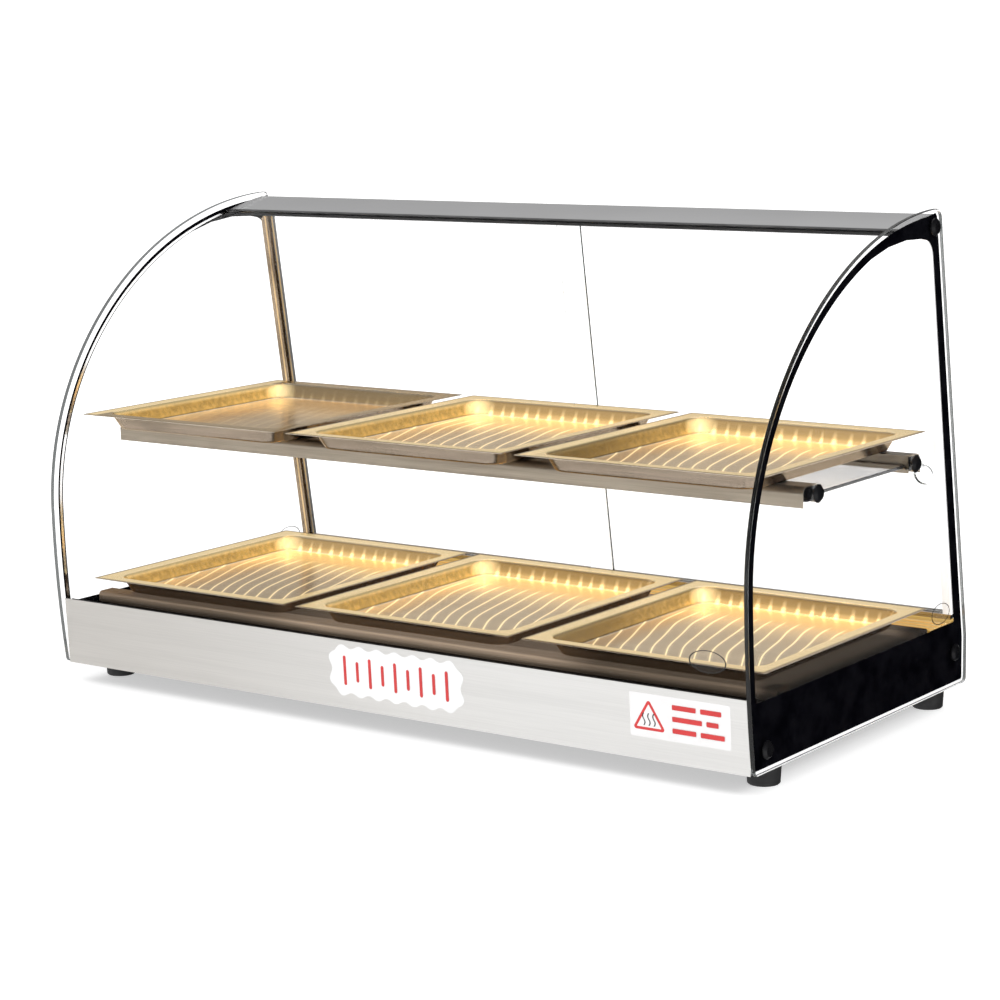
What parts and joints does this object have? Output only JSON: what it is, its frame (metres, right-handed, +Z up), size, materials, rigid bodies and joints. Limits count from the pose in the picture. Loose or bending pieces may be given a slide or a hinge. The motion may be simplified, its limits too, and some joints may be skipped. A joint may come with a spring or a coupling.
{
  "type": "hot food display case",
  "caption": "Countertop heated glass display case with a bowed front, two tiers of removable pans, sliding rear doors, lights and a controlled heated base.",
  "frame": {"origin": "centre of the case's footprint on the surface that its feet stand on", "axes": "+X along the case to the customer's right-hand end as seen from the front, -Y towards the customer and the bowed glass, +Y towards the sliding doors, +Z up"},
  "size_m": [1.095, 0.547, 0.6403],
  "materials": {
    "side_glass": "clear tempered glass with a polished edge",
    "curved_glass": "clear bent tempered glass",
    "door_glass": "clear tempered glass with a ground edge",
    "shelf_glass": "clear tempered glass",
    "black_roof": "gloss black enamel",
    "bright_steel": "satin stainless steel",
    "dark_metal": "satin black paint",
    "plated_steel": "zinc plate",
    "brushed_fascia": "horizontally brushed stainless steel",
    "black_sheet": "satin black paint",
    "black_rubber": "matt black rubber",
    "dark_steel": "dark polished steel",
    "rail_aluminium": "satin anodised aluminium",
    "black_plastic": "black moulded plastic",
    "heater_orange": "silicone rubber mat",
    "insulation": "mineral wool board",
    "led_lens": "frosted warm white lens",
    "white_plastic": "white moulded plastic",
    "grey_plastic": "grey moulded plastic",
    "thermostat_case": "brown moulded plastic",
    "copper": "drawn copper tube",
    "rocker_red": "translucent red plastic",
    "rocker_black": "black plastic",
    "lamp_amber": "amber plastic lens",
    "grip_plastic": "clear plastic grommet",
    "pan_steel": "brushed stainless steel"
  },
  "bodies": {
    "case": {"base_cheek_left": "black_sheet", "base_cheek_right": "black_sheet", "base_floor": "plated_steel", "base_top": "black_sheet", "beam_end_brackets": "plated_steel", "capillary_and_bulb": "copper", "cord_gland": "black_plastic", "door_track_lower": "bright_steel", "door_track_upper": "black_roof", "fascia": "brushed_fascia", "foot_front_left": "black_rubber", "foot_front_right": "black_rubber", "foot_rear_left": "black_rubber", "foot_rear_right": "black_rubber", "foot_screws": "plated_steel", "front_glass": "curved_glass", "glass_bolt_nuts": "plated_steel", "glass_bolts": "black_plastic", "glass_channel": "black_rubber", "glass_top_trim": "bright_steel", "heated_deck": "dark_steel", "heater_mats": "heater_orange", "insulation_board": "insulation", "led_bar_shelf": "rail_aluminium", "led_bar_top": "rail_aluminium", "led_driver": "white_plastic", "led_lenses": "led_lens", "light_switch_frame": "black_plastic", "panel_screws": "plated_steel", "pilot_lamp": "lamp_amber", "power_switch_frame": "black_plastic", "rail_end_plugs": "black_plastic", "rear_panel": "brushed_fascia", "rear_post_left": "bright_steel", "rear_post_right": "bright_steel", "rear_sill": "bright_steel", "roof_panel": "black_roof", "shelf_glass": "shelf_glass", "shelf_rail_front": "rail_aluminium", "shelf_rail_rear": "rail_aluminium", "side_glass_left": "side_glass", "side_glass_right": "side_glass", "terminal_block": "white_plastic", "thermostat_body": "thermostat_case", "top_beam": "dark_metal", "wire_duct": "grey_plastic"},
    "left_door": {"sliding_door_left": "door_glass", "finger_grip_left": "grip_plastic"},
    "right_door": {"sliding_door_right": "door_glass", "finger_grip_right": "grip_plastic"},
    "dial": {"thermostat_knob": "black_plastic", "thermostat_shaft": "bright_steel"},
    "power_rocker": {"power_switch_rocker": "rocker_red"},
    "light_rocker": {"light_switch_rocker": "rocker_black"},
    "upper_pan_left": {"upper_pan_left": "pan_steel"},
    "upper_pan_centre": {"upper_pan_centre": "pan_steel"},
    "upper_pan_right": {"upper_pan_right": "pan_steel"},
    "lower_pan_left": {"lower_pan_left": "pan_steel"},
    "lower_pan_centre": {"lower_pan_centre": "pan_steel"},
    "lower_pan_right": {"lower_pan_right": "pan_steel"}
  },
  "joints": [
    {"name": "left_door_slide", "type": "slide", "parent": "case", "child": "left_door", "axis": [1, 0, 0], "range_m": [0, 0.5]},
    {"name": "right_door_slide", "type": "slide", "parent": "case", "child": "right_door", "axis": [-1, 0, 0], "range_m": [0, 0.5]},
    {"name": "dial_turn", "type": "hinge", "parent": "case", "child": "dial", "pos_m": [-0.42, 0.2633, 0.072], "axis": [0, -1, 0], "range_deg": [0, 270]},
    {"name": "power_switch_rock", "type": "hinge", "parent": "case", "child": "power_rocker", "pos_m": [-0.345, 0.2622, 0.072], "axis": [-1, 0, 0], "range_deg": [0, 16]},
    {"name": "light_switch_rock", "type": "hinge", "parent": "case", "child": "light_rocker", "pos_m": [-0.3, 0.2622, 0.072], "axis": [-1, 0, 0], "range_deg": [0, 16]},
    {"name": "upper_pan_left_lift", "type": "slide", "parent": "case", "child": "upper_pan_left", "axis": [0, 0, 1], "range_m": [0, 0.015]},
    {"name": "upper_pan_centre_lift", "type": "slide", "parent": "case", "child": "upper_pan_centre", "axis": [0, 0, 1], "range_m": [0, 0.015]},
    {"name": "upper_pan_right_lift", "type": "slide", "parent": "case", "child": "upper_pan_right", "axis": [0, 0, 1], "range_m": [0, 0.015]},
    {"name": "lower_pan_left_lift", "type": "slide", "parent": "case", "child": "lower_pan_left", "axis": [0, 0, 1], "range_m": [0, 0.15]},
    {"name": "lower_pan_centre_lift", "type": "slide", "parent": "case", "child": "lower_pan_centre", "axis": [0, 0, 1], "range_m": [0, 0.15]},
    {"name": "lower_pan_right_lift", "type": "slide", "parent": "case", "child": "lower_pan_right", "axis": [0, 0, 1], "range_m": [0, 0.15]}
  ]
}
